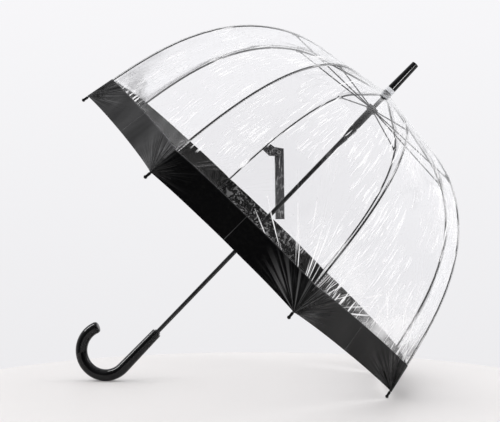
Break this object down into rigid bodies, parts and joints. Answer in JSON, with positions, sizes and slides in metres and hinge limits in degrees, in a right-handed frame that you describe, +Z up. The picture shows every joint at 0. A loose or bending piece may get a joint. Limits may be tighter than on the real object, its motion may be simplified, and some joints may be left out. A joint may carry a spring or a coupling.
{
  "type": "clear dome stick umbrella",
  "caption": "Manual stick umbrella with a clear dome canopy, wide black border, crook handle, sliding runner, folding ribs and a closing strap; shown open and resting on the floor.",
  "frame": {"origin": "middle of the footprint of the open, resting umbrella, on the floor", "axes": "+Z up from the floor, +X from the crook towards the ferrule as seen in plan, +Y completes the frame; the umbrella is mirror-symmetric about the XZ plane apart from the strap, the catches stay in that plane"},
  "size_m": [0.7734, 0.807, 0.7108],
  "materials": {
    "shaft_steel": "black enamel, semi-gloss",
    "rib_steel": "black coated steel, semi-gloss",
    "rib_fibre": "black coated glass fibre rod",
    "bright_steel": "bare spring steel",
    "gloss_black_plastic": "moulded black plastic, high gloss",
    "moulded_black_plastic": "moulded black nylon, satin",
    "clear_plastic": "clear moulded plastic",
    "clear_film": "clear flexible film, glossy, with soft creases",
    "black_vinyl": "black flexible vinyl, glossy, wrinkled"
  },
  "bodies": {
    "stick": {"shaft": "shaft_steel", "ferrule": "gloss_black_plastic", "ferrule_washer": "clear_plastic", "crown_notch": "moulded_black_plastic", "crown_wire": "bright_steel", "grip_collar": "moulded_black_plastic", "crook_handle": "gloss_black_plastic", "handle_end_cap": "gloss_black_plastic", "canopy_film": "clear_film", "canopy_border": "black_vinyl"},
    "runner": {"runner": "moulded_black_plastic", "runner_wire": "bright_steel"},
    "top_catch": {"top_spring_catch": "bright_steel"},
    "bottom_catch": {"bottom_spring_catch": "bright_steel"},
    "rib_1_top": {"top_rib_1": "rib_steel"},
    "rib_1_upper": {"upper_rod_1": "rib_fibre"},
    "rib_1_lower": {"lower_rod_1": "rib_fibre", "rib_tip_1": "gloss_black_plastic"},
    "rib_1_stretcher": {"stretcher_1": "rib_steel"},
    "rib_2_top": {"top_rib_2": "rib_steel"},
    "rib_2_upper": {"upper_rod_2": "rib_fibre"},
    "rib_2_lower": {"lower_rod_2": "rib_fibre", "rib_tip_2": "gloss_black_plastic"},
    "rib_2_stretcher": {"stretcher_2": "rib_steel"},
    "rib_3_top": {"top_rib_3": "rib_steel"},
    "rib_3_upper": {"upper_rod_3": "rib_fibre"},
    "rib_3_lower": {"lower_rod_3": "rib_fibre", "rib_tip_3": "gloss_black_plastic", "closing_strap": "black_vinyl", "strap_snap": "bright_steel"},
    "rib_3_stretcher": {"stretcher_3": "rib_steel"},
    "rib_4_top": {"top_rib_4": "rib_steel"},
    "rib_4_upper": {"upper_rod_4": "rib_fibre"},
    "rib_4_lower": {"lower_rod_4": "rib_fibre", "rib_tip_4": "gloss_black_plastic"},
    "rib_4_stretcher": {"stretcher_4": "rib_steel"},
    "rib_5_top": {"top_rib_5": "rib_steel"},
    "rib_5_upper": {"upper_rod_5": "rib_fibre"},
    "rib_5_lower": {"lower_rod_5": "rib_fibre", "rib_tip_5": "gloss_black_plastic"},
    "rib_5_stretcher": {"stretcher_5": "rib_steel"},
    "rib_6_top": {"top_rib_6": "rib_steel"},
    "rib_6_upper": {"upper_rod_6": "rib_fibre"},
    "rib_6_lower": {"lower_rod_6": "rib_fibre", "rib_tip_6": "gloss_black_plastic"},
    "rib_6_stretcher": {"stretcher_6": "rib_steel"},
    "rib_7_top": {"top_rib_7": "rib_steel"},
    "rib_7_upper": {"upper_rod_7": "rib_fibre"},
    "rib_7_lower": {"lower_rod_7": "rib_fibre", "rib_tip_7": "gloss_black_plastic"},
    "rib_7_stretcher": {"stretcher_7": "rib_steel"},
    "rib_8_top": {"top_rib_8": "rib_steel"},
    "rib_8_upper": {"upper_rod_8": "rib_fibre"},
    "rib_8_lower": {"lower_rod_8": "rib_fibre", "rib_tip_8": "gloss_black_plastic"},
    "rib_8_stretcher": {"stretcher_8": "rib_steel"}
  },
  "joints": [
    {"name": "runner_slide", "type": "slide", "parent": "stick", "child": "runner", "axis": [-0.6957, 0, -0.7184], "range_m": [0, 0.3919], "deforming": ["canopy_film", "canopy_border", "closing_strap", "strap_snap", "top_spring_catch", "bottom_spring_catch"]},
    {"name": "top_catch_press", "type": "hinge", "parent": "stick", "child": "top_catch", "pos_m": [0.1497, 0, 0.47548], "axis": [0, -1, 0], "range_deg": [0, 4.8], "stiffness_Nm_per_rad": 0.05},
    {"name": "bottom_catch_press", "type": "hinge", "parent": "stick", "child": "bottom_catch", "pos_m": [-0.01705, 0, 0.30329], "axis": [0, 1, 0], "range_deg": [0, 4.8], "stiffness_Nm_per_rad": 0.05},
    {"name": "rib_fold_1", "type": "hinge", "parent": "stick", "child": "rib_1_top", "pos_m": [0.26001, 0.00383, 0.57927], "axis": [-0.2749, 0.9239, 0.2662], "range_deg": [0, 75.77]},
    {"name": "rod_joint_1", "type": "hinge", "parent": "rib_1_top", "child": "rib_1_upper", "pos_m": [0.3732, 0.08778, 0.40481], "axis": [0.2749, -0.9239, -0.2662], "range_deg": [0, 28.73]},
    {"name": "rod_flex_1", "type": "hinge", "parent": "rib_1_upper", "child": "rib_1_lower", "pos_m": [0.37853, 0.13118, 0.25968], "axis": [0.2749, -0.9239, -0.2662], "range_deg": [0, 28.55]},
    {"name": "stretcher_swing_1", "type": "hinge", "parent": "runner", "child": "rib_1_stretcher", "pos_m": [0.23198, 0.00634, 0.55213], "axis": [0.2749, -0.9239, -0.2662], "range_deg": [0, 89.93]},
    {"name": "rib_fold_2", "type": "hinge", "parent": "stick", "child": "rib_2_top", "pos_m": [0.25612, 0.00924, 0.58304], "axis": [-0.6637, 0.3827, 0.6427], "range_deg": [0, 75.77]},
    {"name": "rod_joint_2", "type": "hinge", "parent": "rib_2_top", "child": "rib_2_upper", "pos_m": [0.28402, 0.21192, 0.49117], "axis": [0.6637, -0.3827, -0.6427], "range_deg": [0, 28.73]},
    {"name": "rod_flex_2", "type": "hinge", "parent": "rib_2_upper", "child": "rib_2_lower", "pos_m": [0.24525, 0.31671, 0.38874], "axis": [0.6637, -0.3827, -0.6427], "range_deg": [0, 28.55]},
    {"name": "stretcher_swing_2", "type": "hinge", "parent": "runner", "child": "rib_2_stretcher", "pos_m": [0.22708, 0.01013, 0.55688], "axis": [0.6637, -0.3827, -0.6427], "range_deg": [0, 89.93]},
    {"name": "rib_fold_3", "type": "hinge", "parent": "stick", "child": "rib_3_top", "pos_m": [0.25062, 0.00924, 0.58837], "axis": [-0.6637, -0.3827, 0.6427], "range_deg": [0, 75.77]},
    {"name": "rod_joint_3", "type": "hinge", "parent": "rib_3_top", "child": "rib_3_upper", "pos_m": [0.1579, 0.21192, 0.6133], "axis": [0.6637, 0.3827, -0.6427], "range_deg": [0, 28.73]},
    {"name": "rod_flex_3", "type": "hinge", "parent": "rib_3_upper", "child": "rib_3_lower", "pos_m": [0.05677, 0.31671, 0.57126], "axis": [0.6637, 0.3827, -0.6427], "range_deg": [0, 28.55]},
    {"name": "stretcher_swing_3", "type": "hinge", "parent": "runner", "child": "rib_3_stretcher", "pos_m": [0.22169, 0.00799, 0.5621], "axis": [0.6637, 0.3827, -0.6427], "range_deg": [0, 89.93]},
    {"name": "rib_fold_4", "type": "hinge", "parent": "stick", "child": "rib_4_top", "pos_m": [0.24674, 0.00383, 0.59213], "axis": [-0.2749, -0.9239, 0.2662], "range_deg": [0, 75.77]},
    {"name": "rod_joint_4", "type": "hinge", "parent": "rib_4_top", "child": "rib_4_upper", "pos_m": [0.06872, 0.08778, 0.69966], "axis": [0.2749, 0.9239, -0.2662], "range_deg": [0, 28.73]},
    {"name": "rod_flex_4", "type": "hinge", "parent": "rib_4_upper", "child": "rib_4_lower", "pos_m": [-0.0765, 0.13118, 0.70032], "axis": [0.2749, 0.9239, -0.2662], "range_deg": [0, 28.55]},
    {"name": "stretcher_swing_4", "type": "hinge", "parent": "runner", "child": "rib_4_stretcher", "pos_m": [0.21896, 0.00117, 0.56473], "axis": [0.2749, 0.9239, -0.2662], "range_deg": [0, 89.93]},
    {"name": "rib_fold_5", "type": "hinge", "parent": "stick", "child": "rib_5_top", "pos_m": [0.24674, -0.00383, 0.59213], "axis": [0.2749, -0.9239, -0.2662], "range_deg": [0, 75.77]},
    {"name": "rod_joint_5", "type": "hinge", "parent": "rib_5_top", "child": "rib_5_upper", "pos_m": [0.06872, -0.08778, 0.69966], "axis": [-0.2749, 0.9239, 0.2662], "range_deg": [0, 28.73]},
    {"name": "rod_flex_5", "type": "hinge", "parent": "rib_5_upper", "child": "rib_5_lower", "pos_m": [-0.0765, -0.13118, 0.70032], "axis": [-0.2749, 0.9239, 0.2662], "range_deg": [0, 28.55]},
    {"name": "stretcher_swing_5", "type": "hinge", "parent": "runner", "child": "rib_5_stretcher", "pos_m": [0.2205, -0.00634, 0.56324], "axis": [-0.2749, 0.9239, 0.2662], "range_deg": [0, 89.93]},
    {"name": "rib_fold_6", "type": "hinge", "parent": "stick", "child": "rib_6_top", "pos_m": [0.25062, -0.00924, 0.58837], "axis": [0.6637, -0.3827, -0.6427], "range_deg": [0, 75.77]},
    {"name": "rod_joint_6", "type": "hinge", "parent": "rib_6_top", "child": "rib_6_upper", "pos_m": [0.1579, -0.21192, 0.6133], "axis": [-0.6637, 0.3827, 0.6427], "range_deg": [0, 28.73]},
    {"name": "rod_flex_6", "type": "hinge", "parent": "rib_6_upper", "child": "rib_6_lower", "pos_m": [0.05677, -0.31671, 0.57126], "axis": [-0.6637, 0.3827, 0.6427], "range_deg": [0, 28.55]},
    {"name": "stretcher_swing_6", "type": "hinge", "parent": "runner", "child": "rib_6_stretcher", "pos_m": [0.2254, -0.01013, 0.5585], "axis": [-0.6637, 0.3827, 0.6427], "range_deg": [0, 89.93]},
    {"name": "rib_fold_7", "type": "hinge", "parent": "stick", "child": "rib_7_top", "pos_m": [0.25612, -0.00924, 0.58304], "axis": [0.6637, 0.3827, -0.6427], "range_deg": [0, 75.77]},
    {"name": "rod_joint_7", "type": "hinge", "parent": "rib_7_top", "child": "rib_7_upper", "pos_m": [0.28402, -0.21192, 0.49117], "axis": [-0.6637, -0.3827, 0.6427], "range_deg": [0, 28.73]},
    {"name": "rod_flex_7", "type": "hinge", "parent": "rib_7_upper", "child": "rib_7_lower", "pos_m": [0.24525, -0.31671, 0.38874], "axis": [-0.6637, -0.3827, 0.6427], "range_deg": [0, 28.55]},
    {"name": "stretcher_swing_7", "type": "hinge", "parent": "runner", "child": "rib_7_stretcher", "pos_m": [0.2308, -0.00799, 0.55327], "axis": [-0.6637, -0.3827, 0.6427], "range_deg": [0, 89.93]},
    {"name": "rib_fold_8", "type": "hinge", "parent": "stick", "child": "rib_8_top", "pos_m": [0.26001, -0.00383, 0.57927], "axis": [0.2749, 0.9239, -0.2662], "range_deg": [0, 75.77]},
    {"name": "rod_joint_8", "type": "hinge", "parent": "rib_8_top", "child": "rib_8_upper", "pos_m": [0.3732, -0.08778, 0.40481], "axis": [-0.2749, -0.9239, 0.2662], "range_deg": [0, 28.73]},
    {"name": "rod_flex_8", "type": "hinge", "parent": "rib_8_upper", "child": "rib_8_lower", "pos_m": [0.37853, -0.13118, 0.25968], "axis": [-0.2749, -0.9239, 0.2662], "range_deg": [0, 28.55]},
    {"name": "stretcher_swing_8", "type": "hinge", "parent": "runner", "child": "rib_8_stretcher", "pos_m": [0.23352, -0.00117, 0.55064], "axis": [-0.2749, -0.9239, 0.2662], "range_deg": [0, 89.93]}
  ],
  "couplings": [
    {"joint": "rib_fold_1", "follows": "runner_slide", "rad_per_m": 3.3734},
    {"joint": "rod_joint_1", "follows": "runner_slide", "rad_per_m": 1.2784},
    {"joint": "rod_flex_1", "follows": "runner_slide", "rad_per_m": 1.2703},
    {"joint": "stretcher_swing_1", "follows": "runner_slide", "rad_per_m": 4.0041},
    {"joint": "rib_fold_2", "follows": "runner_slide", "rad_per_m": 3.3734},
    {"joint": "rod_joint_2", "follows": "runner_slide", "rad_per_m": 1.2784},
    {"joint": "rod_flex_2", "follows": "runner_slide", "rad_per_m": 1.2703},
    {"joint": "stretcher_swing_2", "follows": "runner_slide", "rad_per_m": 4.0041},
    {"joint": "rib_fold_3", "follows": "runner_slide", "rad_per_m": 3.3734},
    {"joint": "rod_joint_3", "follows": "runner_slide", "rad_per_m": 1.2784},
    {"joint": "rod_flex_3", "follows": "runner_slide", "rad_per_m": 1.2703},
    {"joint": "stretcher_swing_3", "follows": "runner_slide", "rad_per_m": 4.0041},
    {"joint": "rib_fold_4", "follows": "runner_slide", "rad_per_m": 3.3734},
    {"joint": "rod_joint_4", "follows": "runner_slide", "rad_per_m": 1.2784},
    {"joint": "rod_flex_4", "follows": "runner_slide", "rad_per_m": 1.2703},
    {"joint": "stretcher_swing_4", "follows": "runner_slide", "rad_per_m": 4.0041},
    {"joint": "rib_fold_5", "follows": "runner_slide", "rad_per_m": 3.3734},
    {"joint": "rod_joint_5", "follows": "runner_slide", "rad_per_m": 1.2784},
    {"joint": "rod_flex_5", "follows": "runner_slide", "rad_per_m": 1.2703},
    {"joint": "stretcher_swing_5", "follows": "runner_slide", "rad_per_m": 4.0041},
    {"joint": "rib_fold_6", "follows": "runner_slide", "rad_per_m": 3.3734},
    {"joint": "rod_joint_6", "follows": "runner_slide", "rad_per_m": 1.2784},
    {"joint": "rod_flex_6", "follows": "runner_slide", "rad_per_m": 1.2703},
    {"joint": "stretcher_swing_6", "follows": "runner_slide", "rad_per_m": 4.0041},
    {"joint": "rib_fold_7", "follows": "runner_slide", "rad_per_m": 3.3734},
    {"joint": "rod_joint_7", "follows": "runner_slide", "rad_per_m": 1.2784},
    {"joint": "rod_flex_7", "follows": "runner_slide", "rad_per_m": 1.2703},
    {"joint": "stretcher_swing_7", "follows": "runner_slide", "rad_per_m": 4.0041},
    {"joint": "rib_fold_8", "follows": "runner_slide", "rad_per_m": 3.3734},
    {"joint": "rod_joint_8", "follows": "runner_slide", "rad_per_m": 1.2784},
    {"joint": "rod_flex_8", "follows": "runner_slide", "rad_per_m": 1.2703},
    {"joint": "stretcher_swing_8", "follows": "runner_slide", "rad_per_m": 4.0041}
  ]
}
